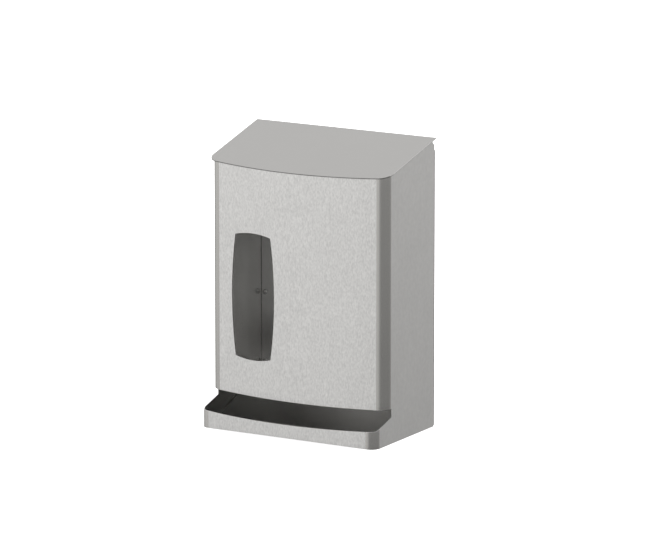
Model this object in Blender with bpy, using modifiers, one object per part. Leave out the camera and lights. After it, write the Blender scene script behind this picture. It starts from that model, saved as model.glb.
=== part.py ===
"""Wall dispenser for folded hair nets, in brushed stainless sheet.

A bowed front panel and two flat side walls are folded from one sheet. A flat
back sheet closes it, a sloped floor sheet feeds the open tray at the bottom,
and a flat sloping lid opens upwards on a rod hinge along its rear edge.

Metres, +Z up. The front faces -Y, the wall is at +Y, and X = 0 is the
middle plane. The origin is the centre of the footprint, on the base plane.
A "depth" below is a distance in front of the wall plane.
"""

import math

import bmesh
import bpy
from mathutils import Matrix, Vector

# ------------------------------------------------------------ dimensions
REAR_Y = 0.0910          # wall plane
WIDTH = 0.2800           # outside of the two side walls
SHEET = 0.0012           # housing, back sheet, tray lip and tray floor
SLACK = 0.0003           # gap kept between sheets that touch

PANEL_DEPTH = 0.1514     # front panel, at its middle
PANEL_BOW = 0.6843       # bow radius of the front panel
PANEL_BEND = 0.0159      # outside radius of its two side bends
PANEL_BOTTOM = 0.0498    # lower edge at the sides
PANEL_DROP = 0.0020      # how much lower that edge is in the middle

LIP_DEPTH = 0.1820       # tray lip, at its middle
LIP_BOW = 0.6835
LIP_BEND = 0.0156
LIP_TOP = 0.0256
LIP_DROP = 0.0025        # dip of the upper edge in the middle
LIP_ARCH = 0.0042        # rise of the lower edge in the middle
LIP_SEAM = 0.1500        # depth of the butt weld with the side walls

NOTCH_DEPTH = 0.1213     # short upright edge of the side wall above the tray
NOTCH_Z = 0.0380         # its lower end, where the slanting edge starts
SLANT_END_DEPTH = 0.1628  # the slanting edge meets the lip's upper edge here
SLANT_END_HALF = 0.1377  # half width of the lip at that depth, in its bend

LID_SLOPE = math.radians(14.393)
LID_REAR_DEPTH = 0.0045
LID_REAR_Z = 0.4110      # upper face of the lid at its rear edge
LID_OVERHANG = 0.0042
LID_SHEET = 0.0015
LID_GAP = 0.0005         # upright gap between lid and housing

CHAMFER_DEPTH = 0.0078   # relief cut in the rear top corner of each side wall
CHAMFER_TOP = 0.4045
CHAMFER_END = 0.3968     # where the relief meets the wall plane

FLANGE = 0.0240          # rear flange of each side wall
REAR_BEND = 0.0022       # outside radius of the rear bends
BACK_HALF = 0.1394       # half width of the back sheet
BACK_TOP = 0.3940

WINDOW_X, WINDOW_Z = -0.0668, 0.1896
WINDOW_CORNER = (0.0296, 0.0860)   # half sizes at the corners
WINDOW_MIDDLE = (0.0359, 0.08995)  # half sizes at the middle of each side

HINGE_HALF = 0.1140      # the hinge sits between the rear flanges
HINGE_DEPTH = 0.0062
HINGE_SHEET = 0.0009
HINGE_MID_R = 0.0021     # middle of the knuckle's wall
PIN_R = 0.0015
KNUCKLES = 9
KNUCKLE_GAP = 0.0005
LEAF_BOTTOM = 0.3720
LID_LEAF = 0.0240        # length of the leaf under the lid

FLOOR_TOP = 0.0080       # flat front part of the tray floor
FLOOR_FOLD_DEPTH = 0.1230
RAMP_TOP = 0.0540
RAMP_DEPTH = 0.0046
RAMP_FLANGE = 0.0100
RAMP_TAB_HALF = 0.1140   # the upturned rear tab stays between the flanges
FLOOR_SHEET = 0.0010

RIVET_X = 0.1325
RIVET_Z = (0.063, 0.163, 0.263, 0.363)
HINGE_RIVET_X = (-0.104, -0.052, 0.0, 0.052, 0.104)
HINGE_RIVET_Z = 0.3815
RIVET_SHANK_R = 0.0017
RIVET_HOLE_R = 0.0021
RIVET_HEAD_R = 0.0040
RIVET_HEAD_H = 0.0016

SCREW_X = 0.0900         # wall screws
SCREW_TOP_Z = 0.3300     # keyholes
SCREW_LOW_Z = 0.0950     # round holes
SCREW_HOLE_R = 0.0028
KEYHOLE_R = 0.0050

STEEL = (0.60, 0.59, 0.58, 1.0)
STEEL_LID = (0.52, 0.52, 0.51, 1.0)
STEEL_INSIDE = (0.42, 0.41, 0.39, 1.0)
STEEL_BRIGHT = (0.66, 0.66, 0.66, 1.0)


# ------------------------------------------------------------ scene
def clear_scene():
    for obj in list(bpy.data.objects):
        bpy.data.objects.remove(obj, do_unlink=True)
    for coll in list(bpy.data.collections):
        bpy.data.collections.remove(coll)


clear_scene()
PARTS = bpy.data.collections.new("hairnet_dispenser")
CUTTERS = bpy.data.collections.new("cutters")
bpy.context.scene.collection.children.link(PARTS)
bpy.context.scene.collection.children.link(CUTTERS)
CUTTERS.hide_render = True


def material(name, colour, roughness, metallic):
    mat = bpy.data.materials.new(name)
    mat.use_nodes = True
    shader = mat.node_tree.nodes["Principled BSDF"]
    shader.inputs["Base Color"].default_value = colour
    shader.inputs["Roughness"].default_value = roughness
    shader.inputs["Metallic"].default_value = metallic
    return mat


def as_object(name, bm, collection):
    mesh = bpy.data.meshes.new(name)
    bm.to_mesh(mesh)
    bm.free()
    obj = bpy.data.objects.new(name, mesh)
    collection.objects.link(obj)
    return obj


def as_part(obj, colour, roughness=0.35, metallic=0.9, smooth=None):
    obj.data.materials.clear()
    obj.data.materials.append(material(obj.name, colour, roughness, metallic))
    if smooth is not None:
        obj.data.shade_smooth()
        obj.data.set_sharp_from_angle(angle=math.radians(smooth))
    return obj


def as_cutter(obj):
    obj.hide_render = True
    obj.display_type = "WIRE"
    return obj


def y_of(depth):
    return REAR_Y - depth


# ------------------------------------------------------------ shapes
def bowed_half(half_width, depth, bow, bend, offset=0.0, bow_steps=16, bend_steps=8):
    """Right half of a bowed front in plan: the bow, then the bend that ends
    tangent to the side wall. Returns (x, depth) points and the depth where
    the flat side starts."""
    centre_x = half_width - bend
    centre_d = (depth - bow) + math.sqrt((bow - bend) ** 2 - centre_x**2)
    turn = math.atan2(centre_x, centre_d - (depth - bow))
    points = []
    for i in range(bow_steps + 1):
        a = turn * i / bow_steps
        points.append(
            ((bow + offset) * math.sin(a), depth - bow + (bow + offset) * math.cos(a))
        )
    for i in range(1, bend_steps + 1):
        a = turn + (math.pi / 2 - turn) * i / bend_steps
        points.append(
            (
                centre_x + (bend + offset) * math.sin(a),
                centre_d + (bend + offset) * math.cos(a),
            )
        )
    return points, centre_d


def mirrored(half):
    """A path from the left end to the right end, from its right half."""
    return [(-x, d) for x, d in reversed(half[1:])] + half


def sheet_along(name, path, low, high, thickness, collection=PARTS):
    """A sheet standing on a plan path, with its outer face on the path."""
    bm = bmesh.new()
    verts = [bm.verts.new((x, y_of(d), low)) for x, d in path]
    edges = [bm.edges.new(pair) for pair in zip(verts, verts[1:])]
    grown = bmesh.ops.extrude_edge_only(bm, edges=edges)["geom"]
    top = [v for v in grown if isinstance(v, bmesh.types.BMVert)]
    bmesh.ops.translate(bm, verts=top, vec=(0, 0, high - low))
    bm.normal_update()
    front = min(bm.faces, key=lambda f: f.calc_center_median().y)
    if front.normal.y > 0:
        bmesh.ops.reverse_faces(bm, faces=bm.faces[:])
    obj = as_object(name, bm, collection)
    shell = obj.modifiers.new("thickness", "SOLIDIFY")
    shell.thickness = thickness
    shell.offset = -1.0
    shell.use_even_offset = True
    return obj


def prism(name, outline, axis, low, high):
    """A closed outline extruded along X, Y or Z. The outline's two numbers
    are the other two coordinates in X, Y, Z order."""
    spots = {
        "X": lambda a, b, t: (t, a, b),
        "Y": lambda a, b, t: (a, t, b),
        "Z": lambda a, b, t: (a, b, t),
    }[axis]
    bm = bmesh.new()
    face = bm.faces.new([bm.verts.new(spots(a, b, low)) for a, b in outline])
    grown = bmesh.ops.extrude_face_region(bm, geom=[face])["geom"]
    moved = [v for v in grown if isinstance(v, bmesh.types.BMVert)]
    way = Vector(spots(0, 0, high)) - Vector(spots(0, 0, low))
    bmesh.ops.translate(bm, verts=moved, vec=way)
    bmesh.ops.recalc_face_normals(bm, faces=bm.faces[:])
    return as_cutter(as_object(name, bm, CUTTERS))


def box_into(bm, low, high):
    low, high = Vector(low), Vector(high)
    size = high - low
    spot = Matrix.Translation((low + high) / 2) @ Matrix.Diagonal((*size, 1.0))
    bmesh.ops.create_cube(bm, size=1.0, matrix=spot)


def hole_into(bm, x, z, radius, d0, d1, sides=20):
    """A cylinder across the sheets, from depth d0 to depth d1."""
    spot = Matrix.Translation((x, y_of((d0 + d1) / 2), z)) @ Matrix.Rotation(
        math.pi / 2, 4, "X"
    )
    bmesh.ops.create_cone(
        bm,
        cap_ends=True,
        segments=sides,
        radius1=radius,
        radius2=radius,
        depth=abs(d1 - d0),
        matrix=spot,
    )


def cutter_from(name, bm):
    bmesh.ops.recalc_face_normals(bm, faces=bm.faces[:])
    return as_cutter(as_object(name, bm, CUTTERS))


def cut(obj, *cutters, operation="DIFFERENCE"):
    for cutter in cutters:
        mod = obj.modifiers.new(cutter.name, "BOOLEAN")
        mod.operation = operation
        mod.object = cutter
        mod.solver = "EXACT"
    return obj


def plate(name, outline, thickness, collection=PARTS):
    """A flat plate from a closed 2D outline, centred on its own XY plane."""
    curve = bpy.data.curves.new(name + "_outline", "CURVE")
    curve.dimensions = "2D"
    curve.fill_mode = "BOTH"
    curve.extrude = thickness / 2
    spline = curve.splines.new("POLY")
    spline.points.add(len(outline) - 1)
    for point, (x, y) in zip(spline.points, outline):
        point.co = (x, y, 0, 1)
    spline.use_cyclic_u = True
    guide = bpy.data.objects.new(name + "_outline", curve)
    CUTTERS.objects.link(guide)
    bpy.context.view_layer.update()
    graph = bpy.context.evaluated_depsgraph_get()
    mesh = bpy.data.meshes.new_from_object(guide.evaluated_get(graph))
    bm = bmesh.new()
    bm.from_mesh(mesh)
    bmesh.ops.remove_doubles(bm, verts=bm.verts[:], dist=1e-6)
    bmesh.ops.dissolve_limit(
        bm, angle_limit=math.radians(0.05), verts=bm.verts[:], edges=bm.edges[:]
    )
    bmesh.ops.recalc_face_normals(bm, faces=bm.faces[:])
    obj = as_object(name, bm, collection)
    bpy.data.meshes.remove(mesh)
    bpy.data.objects.remove(guide, do_unlink=True)
    return obj


def parabola(edge_z, middle_z, steps=28, half=WIDTH / 2 + 0.006, reach=WIDTH / 2):
    """(x, z) points of an edge that is at edge_z at the reach from the middle
    plane and at middle_z in the middle, and that runs on level past it."""
    points = []
    for i in range(steps + 1):
        x = -half + 2 * half * i / steps
        share = max(0.0, 1 - (x / reach) ** 2)
        points.append((x, edge_z + (middle_z - edge_z) * share))
    return points


def lid_top_z(depth):
    return LID_REAR_Z - math.tan(LID_SLOPE) * (depth - LID_REAR_DEPTH)


def lid_under_z(depth):
    return lid_top_z(depth) - LID_SHEET / math.cos(LID_SLOPE)


HINGE_Z = (
    lid_under_z(HINGE_DEPTH)
    - (HINGE_MID_R + HINGE_SHEET / 2 + SLACK) / math.cos(LID_SLOPE)
)
SLANT_RUN = (NOTCH_Z - LIP_TOP) / (SLANT_END_DEPTH - NOTCH_DEPTH)


def slant_z(depth):
    """Height of the side wall's slanting edge above the tray."""
    return NOTCH_Z - SLANT_RUN * (depth - NOTCH_DEPTH)


# ------------------------------------------------------------ housing
flange_plane = SHEET + 2 * SLACK   # outer face of the rear flanges, in depth
panel_half, panel_side = bowed_half(WIDTH / 2, PANEL_DEPTH, PANEL_BOW, PANEL_BEND)
rear_turn = [
    (
        WIDTH / 2 - REAR_BEND + REAR_BEND * math.cos(a),
        flange_plane + REAR_BEND - REAR_BEND * math.sin(a),
    )
    for a in [math.pi / 2 * i / 4 for i in range(5)]
]
housing_half = panel_half + rear_turn + [(WIDTH / 2 - FLANGE, flange_plane)]
housing = sheet_along("housing_shell", mirrored(housing_half), 0.0, 0.420, SHEET)

far = 0.30
roof = prism(
    "cut_roof",
    [
        (y_of(-0.02), lid_under_z(-0.02) - LID_GAP),
        (y_of(0.20), lid_under_z(0.20) - LID_GAP),
        (y_of(0.20), 0.50),
        (y_of(-0.02), 0.50),
    ],
    "X",
    -far,
    far,
)
corner_run = (CHAMFER_TOP - CHAMFER_END) / CHAMFER_DEPTH
corner_relief = prism(
    "cut_corner_relief",
    [
        (y_of(CHAMFER_DEPTH), 0.51),
        (y_of(CHAMFER_DEPTH), CHAMFER_TOP),
        (y_of(-0.001), CHAMFER_END - 0.001 * corner_run),
        (y_of(-0.001), 0.51),
    ],
    "X",
    -far,
    far,
)
panel_edge = parabola(PANEL_BOTTOM, PANEL_BOTTOM - PANEL_DROP)
below_panel = prism(
    "cut_below_panel",
    panel_edge + [(panel_edge[-1][0], 0.040), (panel_edge[0][0], 0.040)],
    "Y",
    y_of(0.20),
    y_of(NOTCH_DEPTH),
)
tray_opening = prism(
    "cut_tray_opening",
    [
        (y_of(NOTCH_DEPTH), 0.045),
        (y_of(NOTCH_DEPTH), -0.01),
        (y_of(0.20), -0.01),
        (y_of(0.20), 0.045),
    ],
    "X",
    -far,
    far,
)


def side_tab(name, side):
    """The flat foot of a side wall, which runs on past the panel's bend to
    the tray lip. It is part of the same sheet."""
    outer, inner = side * WIDTH / 2, side * (WIDTH / 2 - SHEET)
    return prism(
        name,
        [
            (y_of(NOTCH_DEPTH - 0.010), 0.0),
            (y_of(LIP_SEAM), 0.0),
            (y_of(LIP_SEAM), slant_z(LIP_SEAM)),
            (y_of(NOTCH_DEPTH), NOTCH_Z),
            (y_of(NOTCH_DEPTH - 0.010), NOTCH_Z),
        ],
        "X",
        min(outer, inner),
        max(outer, inner),
    )


def arc_side(p, q, middle, steps):
    """Points from p to just before q on the circle through p, middle and q."""
    (ax, ay), (bx, by), (cx, cy) = p, middle, q
    det = 2 * (ax * (by - cy) + bx * (cy - ay) + cx * (ay - by))
    ux = (
        (ax * ax + ay * ay) * (by - cy)
        + (bx * bx + by * by) * (cy - ay)
        + (cx * cx + cy * cy) * (ay - by)
    ) / det
    uy = (
        (ax * ax + ay * ay) * (cx - bx)
        + (bx * bx + by * by) * (ax - cx)
        + (cx * cx + cy * cy) * (bx - ax)
    ) / det
    radius = math.hypot(ax - ux, ay - uy)
    start = math.atan2(ay - uy, ax - ux)
    sweep = math.atan2(cy - uy, cx - ux) - start
    sweep = (sweep + math.pi) % (2 * math.pi) - math.pi
    return [
        (
            ux + radius * math.cos(start + sweep * i / steps),
            uy + radius * math.sin(start + sweep * i / steps),
        )
        for i in range(steps)
    ]


wc, wm = WINDOW_CORNER, WINDOW_MIDDLE
window_outline = [
    (WINDOW_X + x, WINDOW_Z + z)
    for x, z in arc_side((-wc[0], -wc[1]), (wc[0], -wc[1]), (0, -wm[1]), 10)
    + arc_side((wc[0], -wc[1]), (wc[0], wc[1]), (wm[0], 0), 14)
    + arc_side((wc[0], wc[1]), (-wc[0], wc[1]), (0, wm[1]), 10)
    + arc_side((-wc[0], wc[1]), (-wc[0], -wc[1]), (-wm[0], 0), 14)
]
window = prism("cut_window", window_outline, "Y", y_of(0.170), y_of(0.120))

bm = bmesh.new()
for side in (-1, 1):
    for z in RIVET_Z:
        hole_into(bm, side * RIVET_X, z, RIVET_HOLE_R, -0.002, 0.006)
flange_holes = cutter_from("cut_flange_holes", bm)

cut(housing, roof, corner_relief, below_panel, tray_opening, window, flange_holes)
cut(
    housing,
    side_tab("foot_left", -1),
    side_tab("foot_right", 1),
    operation="UNION",
)
as_part(housing, STEEL, 0.34)

# ------------------------------------------------------------ tray lip
lip_half, lip_side = bowed_half(WIDTH / 2, LIP_DEPTH, LIP_BOW, LIP_BEND)
lip_path = mirrored(lip_half + [(WIDTH / 2, LIP_SEAM + SLACK)])
lip = sheet_along("tray_lip", lip_path, 0.0, 0.034, SHEET)
over_slant = prism(
    "cut_over_slant",
    [
        (y_of(0.140), slant_z(0.140)),
        (y_of(SLANT_END_DEPTH), LIP_TOP),
        (y_of(0.20), LIP_TOP),
        (y_of(0.20), 0.05),
        (y_of(0.140), 0.05),
    ],
    "X",
    -far,
    far,
)
dip_edge = parabola(LIP_TOP + 0.00002, LIP_TOP - LIP_DROP, reach=SLANT_END_HALF)
lip_dip = prism(
    "cut_lip_dip",
    dip_edge + [(dip_edge[-1][0], 0.031), (dip_edge[0][0], 0.031)],
    "Y",
    y_of(0.20),
    y_of(SLANT_END_DEPTH),
)
arch_edge = [(x, z) for x, z in parabola(0.0, LIP_ARCH) if abs(x) <= WIDTH / 2 - 0.004]
lip_arch = prism(
    "cut_lip_arch",
    arch_edge + [(arch_edge[-1][0], -0.01), (arch_edge[0][0], -0.01)],
    "Y",
    y_of(0.20),
    y_of(0.1625),
)
cut(lip, over_slant, lip_dip, lip_arch)
as_part(lip, STEEL, 0.34)

# ------------------------------------------------------------ back sheet
r = 0.003
corners = [(BACK_HALF, 0.0), (BACK_HALF, BACK_TOP), (-BACK_HALF, BACK_TOP), (-BACK_HALF, 0.0)]
outline = []
for i, (cx, cz) in enumerate(corners):
    sx, sz = math.copysign(1, cx), 1 if cz > 0 else -1
    mx, mz = cx - sx * r, cz - sz * r
    start = [-90, 0, 90, 180][i]
    for k in range(5):
        a = math.radians(start + 90 * k / 4)
        outline.append((mx + r * math.cos(a), mz + r * math.sin(a)))
back = plate("back_panel", outline, SHEET)
back.data.transform(
    Matrix.Translation((0, y_of(SHEET / 2), 0)) @ Matrix.Rotation(math.pi / 2, 4, "X")
)
bm = bmesh.new()
for side in (-1, 1):
    for z in RIVET_Z:
        hole_into(bm, side * RIVET_X, z, RIVET_HOLE_R, -0.002, 0.004)
    hole_into(bm, side * SCREW_X, SCREW_LOW_Z, SCREW_HOLE_R, -0.002, 0.004)
for x in HINGE_RIVET_X:
    hole_into(bm, x, HINGE_RIVET_Z, RIVET_HOLE_R, -0.002, 0.004)
back_holes = cutter_from("cut_back_holes", bm)


def keyhole(name, x, z):
    """Round mouth below, narrow slot with a round end above."""
    outline = []
    mouth_start = math.asin(SCREW_HOLE_R / KEYHOLE_R)
    for k in range(21):
        a = math.pi / 2 + mouth_start + (2 * math.pi - 2 * mouth_start) * k / 20
        outline.append((x + KEYHOLE_R * math.cos(a), z + KEYHOLE_R * math.sin(a)))
    for k in range(9):
        a = math.pi * k / 8
        outline.append(
            (x + SCREW_HOLE_R * math.cos(a), z + 0.0115 + SCREW_HOLE_R * math.sin(a))
        )
    return prism(name, outline, "Y", y_of(0.004), y_of(-0.002))


cut(
    back,
    back_holes,
    keyhole("cut_keyhole_left", -SCREW_X, SCREW_TOP_Z),
    keyhole("cut_keyhole_right", SCREW_X, SCREW_TOP_Z),
)
as_part(back, STEEL_INSIDE, 0.38)

# ------------------------------------------------------------ tray floor
inner_half = WIDTH / 2 - SHEET - SLACK
nose, nose_side = bowed_half(
    WIDTH / 2, LIP_DEPTH, LIP_BOW, LIP_BEND, offset=-(SHEET + SLACK)
)
bm = bmesh.new()


def spot(x, depth, z):
    return bm.verts.new((x, y_of(depth), z))


relief = 0.004
fold_r, fold_l = spot(inner_half, FLOOR_FOLD_DEPTH, FLOOR_TOP), spot(
    -inner_half, FLOOR_FOLD_DEPTH, FLOOR_TOP
)
flat_r = spot(inner_half, FLOOR_FOLD_DEPTH + relief, FLOOR_TOP)
flat_l = spot(-inner_half, FLOOR_FOLD_DEPTH + relief, FLOOR_TOP)
front = [spot(x, d, FLOOR_TOP) for x, d in reversed(mirrored(nose))]
floor_face = bm.faces.new([fold_l, flat_l] + front[::-1] + [flat_r, fold_r])
way = Vector((0, FLOOR_FOLD_DEPTH - RAMP_DEPTH, RAMP_TOP - FLOOR_TOP)).normalized()
low_r = spot(
    inner_half, FLOOR_FOLD_DEPTH - relief * way.y, FLOOR_TOP + relief * way.z
)
low_l = spot(
    -inner_half, FLOOR_FOLD_DEPTH - relief * way.y, FLOOR_TOP + relief * way.z
)
high_r, high_l = spot(inner_half, RAMP_DEPTH, RAMP_TOP), spot(
    -inner_half, RAMP_DEPTH, RAMP_TOP
)
tab_r, tab_l = spot(RAMP_TAB_HALF, RAMP_DEPTH, RAMP_TOP), spot(
    -RAMP_TAB_HALF, RAMP_DEPTH, RAMP_TOP
)
ramp_face = bm.faces.new([fold_r, low_r, high_r, tab_r, tab_l, high_l, low_l, fold_l])
for pair, down in (
    ((flat_r, front[0]), Vector((0, 0, -0.0055))),
    ((flat_l, front[-1]), Vector((0, 0, -0.0055))),
    ((low_r, high_r), Vector((0, 0, -0.0090))),
    ((low_l, high_l), Vector((0, 0, -0.0090))),
    ((tab_r, tab_l), Vector((0, 0, RAMP_FLANGE))),
):
    edge = bm.edges.get(pair) or bm.edges.new(pair)
    grown = bmesh.ops.extrude_edge_only(bm, edges=[edge])["geom"]
    bmesh.ops.translate(
        bm, verts=[v for v in grown if isinstance(v, bmesh.types.BMVert)], vec=down
    )
bmesh.ops.recalc_face_normals(bm, faces=bm.faces[:])
bm.normal_update()
if max(bm.faces, key=lambda f: f.calc_area()).normal.z < 0:
    bmesh.ops.reverse_faces(bm, faces=bm.faces[:])
tray_floor = as_object("tray_floor", bm, PARTS)
shell = tray_floor.modifiers.new("thickness", "SOLIDIFY")
shell.thickness = FLOOR_SHEET
shell.offset = -1.0
shell.use_even_offset = True
as_part(tray_floor, STEEL_INSIDE, 0.38)

# ------------------------------------------------------------ hinge
hinge_y = y_of(HINGE_DEPTH)
normal = Vector((0, -math.sin(LID_SLOPE), math.cos(LID_SLOPE)))
forward = Vector((0, -math.cos(LID_SLOPE), -math.sin(LID_SLOPE)))
step = 2 * HINGE_HALF / KNUCKLES


def curl(start, sweep, steps=18):
    """(y, z) points of the knuckle's middle line, angles in degrees."""
    return [
        (
            hinge_y + HINGE_MID_R * math.cos(math.radians(start + sweep * i / steps)),
            HINGE_Z + HINGE_MID_R * math.sin(math.radians(start + sweep * i / steps)),
        )
        for i in range(steps + 1)
    ]


def strip(name, profile, half_length, thickness):
    """A profile in YZ drawn out along X, as a sheet about its middle line."""
    bm = bmesh.new()
    verts = [bm.verts.new((-half_length, y, z)) for y, z in profile]
    edges = [bm.edges.new(pair) for pair in zip(verts, verts[1:])]
    grown = bmesh.ops.extrude_edge_only(bm, edges=edges)["geom"]
    bmesh.ops.translate(
        bm,
        verts=[v for v in grown if isinstance(v, bmesh.types.BMVert)],
        vec=(2 * half_length, 0, 0),
    )
    bmesh.ops.recalc_face_normals(bm, faces=bm.faces[:])
    obj = as_object(name, bm, PARTS)
    mod = obj.modifiers.new("thickness", "SOLIDIFY")
    mod.thickness = thickness
    mod.offset = 0.0
    mod.use_even_offset = True
    return obj


leaf_y = y_of(SHEET + 2 * SLACK + HINGE_SHEET / 2)
tangent_y = hinge_y + HINGE_MID_R
fixed_leaf = strip(
    "hinge_leaf_fixed",
    [
        (leaf_y, LEAF_BOTTOM),
        (leaf_y, HINGE_Z - 0.0100),
        (tangent_y, HINGE_Z - 0.0068),
        (tangent_y, HINGE_Z - 0.0012),
    ]
    + curl(0, 290),
    HINGE_HALF,
    HINGE_SHEET,
)
lid_leaf_start = Vector((0, hinge_y, HINGE_Z)) + normal * HINGE_MID_R
lid_leaf_end = lid_leaf_start + forward * LID_LEAF
near_start = lid_leaf_start + forward * 0.0012
lid_leaf = strip(
    "hinge_leaf_lid",
    [(lid_leaf_end.y, lid_leaf_end.z), (near_start.y, near_start.z)]
    + curl(90 + math.degrees(LID_SLOPE), -290),
    HINGE_HALF,
    HINGE_SHEET,
)
clear_r = HINGE_MID_R + HINGE_SHEET / 2 + 0.0007


def knuckle_slots(name, odd, low, high, turn):
    """Boxes that clear one leaf where the other leaf's knuckles are."""
    bm = bmesh.new()
    for k in range(KNUCKLES):
        if k % 2 != odd:
            continue
        left = -HINGE_HALF + k * step - (KNUCKLE_GAP / 2 if k else 0.002)
        right = -HINGE_HALF + (k + 1) * step + (
            KNUCKLE_GAP / 2 if k < KNUCKLES - 1 else 0.002
        )
        box_into(bm, (left, low[0], low[1]), (right, high[0], high[1]))
    spin = Matrix.Rotation(turn, 4, "X")
    bmesh.ops.transform(
        bm,
        matrix=Matrix.Translation((0, hinge_y, HINGE_Z)) @ spin,
        verts=bm.verts[:],
    )
    return cutter_from(name, bm)


# fixed leaf keeps the even knuckles, the lid's leaf the odd ones
cut(
    fixed_leaf,
    knuckle_slots("cut_fixed_leaf", 1, (-0.005, -clear_r), (0.005, 0.006), 0.0),
)
cut(
    lid_leaf,
    knuckle_slots(
        "cut_lid_leaf", 0, (-clear_r, -0.005), (0.006, 0.005), LID_SLOPE
    ),
)
bm = bmesh.new()
for x in HINGE_RIVET_X:
    hole_into(bm, x, HINGE_RIVET_Z, RIVET_HOLE_R, 0.0, 0.006)
cut(fixed_leaf, cutter_from("cut_leaf_holes", bm))
as_part(fixed_leaf, STEEL_BRIGHT, 0.28, smooth=30)
as_part(lid_leaf, STEEL_BRIGHT, 0.28, smooth=30)


def turned(name, profile, steps):
    """A turned piece about its own Z axis, from a profile at +X that runs
    from top to bottom."""
    bm = bmesh.new()
    verts = [bm.verts.new((x, 0, z)) for x, z in profile]
    for pair in zip(verts, verts[1:]):
        bm.edges.new(pair)
    obj = as_object(name, bm, PARTS)
    mod = obj.modifiers.new("turn", "SCREW")
    mod.steps = steps
    mod.render_steps = steps
    mod.use_merge_vertices = True
    mod.merge_threshold = 0.00001
    return obj


pin_half = HINGE_HALF + 0.0010
pin = turned(
    "hinge_pin",
    [
        (0.0, pin_half),
        (PIN_R - 0.0004, pin_half),
        (PIN_R, pin_half - 0.0004),
        (PIN_R, -pin_half + 0.0004),
        (PIN_R - 0.0004, -pin_half),
        (0.0, -pin_half),
    ],
    20,
)
pin.location = (0, hinge_y, HINGE_Z)
pin.rotation_euler = (0, math.pi / 2, 0)
as_part(pin, STEEL_BRIGHT, 0.25, smooth=30)

# ------------------------------------------------------------ lid
lid_axis = bpy.data.objects.new("lid_axis", None)
lid_axis.location = (0, hinge_y, HINGE_Z)
PARTS.objects.link(lid_axis)

lid_half, lid_side = bowed_half(
    WIDTH / 2, PANEL_DEPTH, PANEL_BOW, PANEL_BEND, offset=LID_OVERHANG
)
lid_plan = [(-x, d) for x, d in reversed(lid_half[1:])] + lid_half
lid_plan += [
    (WIDTH / 2 + LID_OVERHANG, LID_REAR_DEPTH),
    (-WIDTH / 2 - LID_OVERHANG, LID_REAR_DEPTH),
]
# the plan outline laid into the sloping plane, measured from the rear edge
lid_outline = [
    (x, -(d - LID_REAR_DEPTH) / math.cos(LID_SLOPE)) for x, d in lid_plan
]
lid = plate("lid_panel", lid_outline, LID_SHEET)
rear_top = Vector((0, y_of(LID_REAR_DEPTH), LID_REAR_Z))
lid.data.transform(
    Matrix.Translation(rear_top - normal * (LID_SHEET / 2))
    @ Matrix.Rotation(LID_SLOPE, 4, "X")
)
soft = lid.modifiers.new("edges", "BEVEL")
soft.width = 0.0003
soft.segments = 1
soft.limit_method = "ANGLE"
soft.angle_limit = math.radians(40)
as_part(lid, STEEL_LID, 0.40)

for obj in (lid, lid_leaf):
    obj.data.transform(Matrix.Translation(-lid_axis.location))
    obj.parent = lid_axis
for mod in lid_leaf.modifiers:
    if mod.type == "BOOLEAN":
        mod.object.hide_render = True

# ------------------------------------------------------------ rivets


def rivet(name, x, z, seat_depth):
    """A low domed head on the inside and a shank that ends just short of
    the wall plane."""
    dome = [
        (
            RIVET_HEAD_R * math.sin(a),
            RIVET_HEAD_H * math.cos(a),
        )
        for a in [math.pi / 2 * i / 5 for i in range(6)]
    ]
    tail = -(seat_depth - 0.00015)
    profile = dome + [
        (RIVET_SHANK_R, 0.0),
        (RIVET_SHANK_R, tail),
        (0.0, tail),
    ]
    profile[0] = (0.0, RIVET_HEAD_H)
    obj = turned(name, profile, 16)
    obj.location = (x, y_of(seat_depth), z)
    obj.rotation_euler = (math.pi / 2, 0, 0)
    return as_part(obj, STEEL_BRIGHT, 0.28, smooth=50)


flange_seat = flange_plane + SHEET + SLACK
number = 0
for side in (-1, 1):
    for z in RIVET_Z:
        number += 1
        rivet(f"back_rivet_{number}", side * RIVET_X, z, flange_seat)
leaf_seat = SHEET + 2 * SLACK + HINGE_SHEET + SLACK
for number, x in enumerate(HINGE_RIVET_X, 1):
    rivet(f"hinge_rivet_{number}", x, HINGE_RIVET_Z, leaf_seat)

bpy.context.view_layer.update()
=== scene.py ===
import math

import bmesh
import bpy
from mathutils import Matrix, Vector
from mathutils.geometry import delaunay_2d_cdt


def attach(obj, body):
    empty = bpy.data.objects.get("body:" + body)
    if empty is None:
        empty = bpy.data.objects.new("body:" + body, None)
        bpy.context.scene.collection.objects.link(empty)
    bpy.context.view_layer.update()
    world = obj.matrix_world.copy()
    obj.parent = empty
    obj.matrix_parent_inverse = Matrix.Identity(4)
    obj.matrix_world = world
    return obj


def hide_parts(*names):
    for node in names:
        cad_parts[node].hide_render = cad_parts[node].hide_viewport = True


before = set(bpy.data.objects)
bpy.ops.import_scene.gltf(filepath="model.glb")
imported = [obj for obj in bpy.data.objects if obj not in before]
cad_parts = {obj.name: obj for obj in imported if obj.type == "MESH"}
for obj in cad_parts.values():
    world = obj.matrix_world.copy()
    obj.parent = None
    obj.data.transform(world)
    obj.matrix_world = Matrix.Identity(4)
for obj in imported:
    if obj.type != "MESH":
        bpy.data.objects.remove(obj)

# The looks of a wall dispenser in stainless sheet. Each sheet is cut as a flat
# blank, folded along its own path and given its thickness and softened cut
# edges, in the place of the frame's plain solid. Metres, +Z up, front to -Y.

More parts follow.
